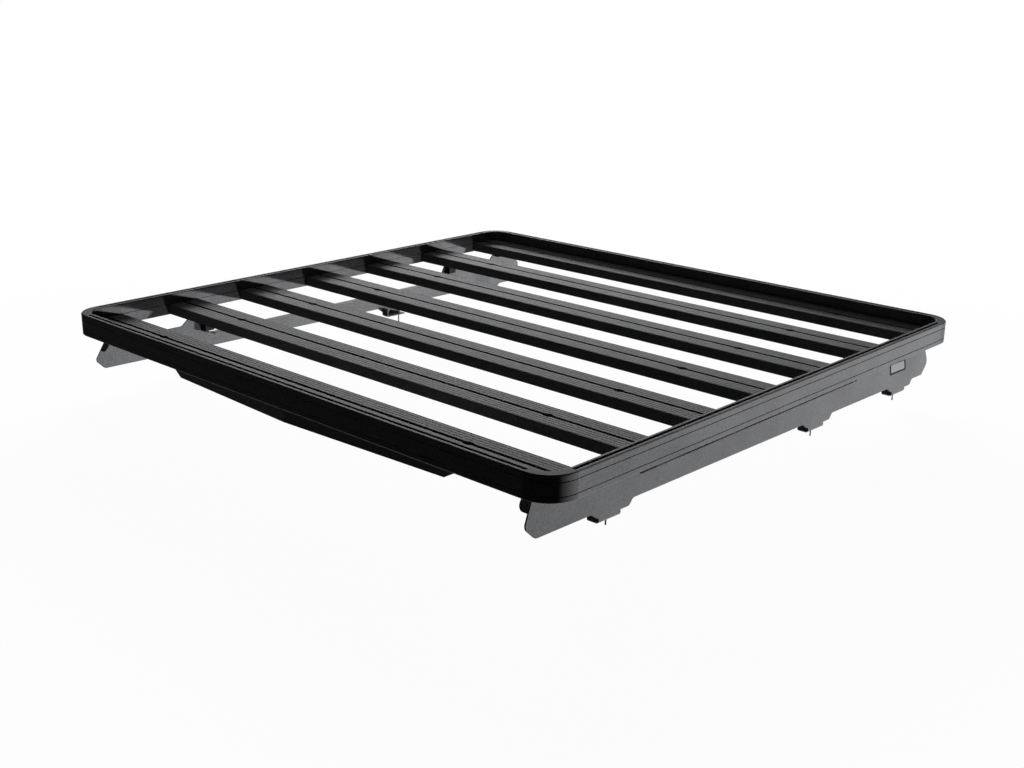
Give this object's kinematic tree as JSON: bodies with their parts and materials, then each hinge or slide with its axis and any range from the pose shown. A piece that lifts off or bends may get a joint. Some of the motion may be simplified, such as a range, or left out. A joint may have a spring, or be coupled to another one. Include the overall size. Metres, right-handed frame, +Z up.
{
  "type": "flat platform roof rack",
  "caption": "Low flat roof rack for a vehicle: a framed deck of slotted slats on two sheet-metal foot rails, with a wind deflector under its front edge",
  "frame": {"origin": "on the floor under the middle of the whole rack, level with the tips of its studs", "axes": "+X to the rack's right, +Y to its rear, +Z up"},
  "size_m": [1.425, 1.3844, 0.1875],
  "materials": {
    "deck_coat": "fine textured black powder coat",
    "corner_coat": "smooth satin black",
    "rail_coat": "fine textured black powder coat",
    "bracket_coat": "matt black",
    "stud_steel": "black oxide"
  },
  "bodies": {
    "root": {"front_profile": "deck_coat", "rear_profile": "deck_coat", "left_profile": "deck_coat", "front_left_corner": "corner_coat", "rear_left_corner": "corner_coat", "right_profile": "deck_coat", "front_right_corner": "corner_coat", "rear_right_corner": "corner_coat", "slat_1": "deck_coat", "slat_2": "deck_coat", "slat_3": "deck_coat", "slat_4": "deck_coat", "slat_5": "deck_coat", "slat_6": "deck_coat", "slat_7": "deck_coat", "left_foot_rail": "rail_coat", "left_front_stud": "stud_steel", "left_middle_stud": "stud_steel", "left_rear_stud": "stud_steel", "left_front_bracket": "bracket_coat", "left_forward_bracket": "bracket_coat", "left_aft_bracket": "bracket_coat", "left_rear_bracket": "bracket_coat", "left_deflector": "deck_coat", "right_foot_rail": "rail_coat", "right_front_stud": "stud_steel", "right_middle_stud": "stud_steel", "right_rear_stud": "stud_steel", "right_front_bracket": "bracket_coat", "right_forward_bracket": "bracket_coat", "right_aft_bracket": "bracket_coat", "right_rear_bracket": "bracket_coat", "right_deflector": "deck_coat"}
  },
  "joints": []
}
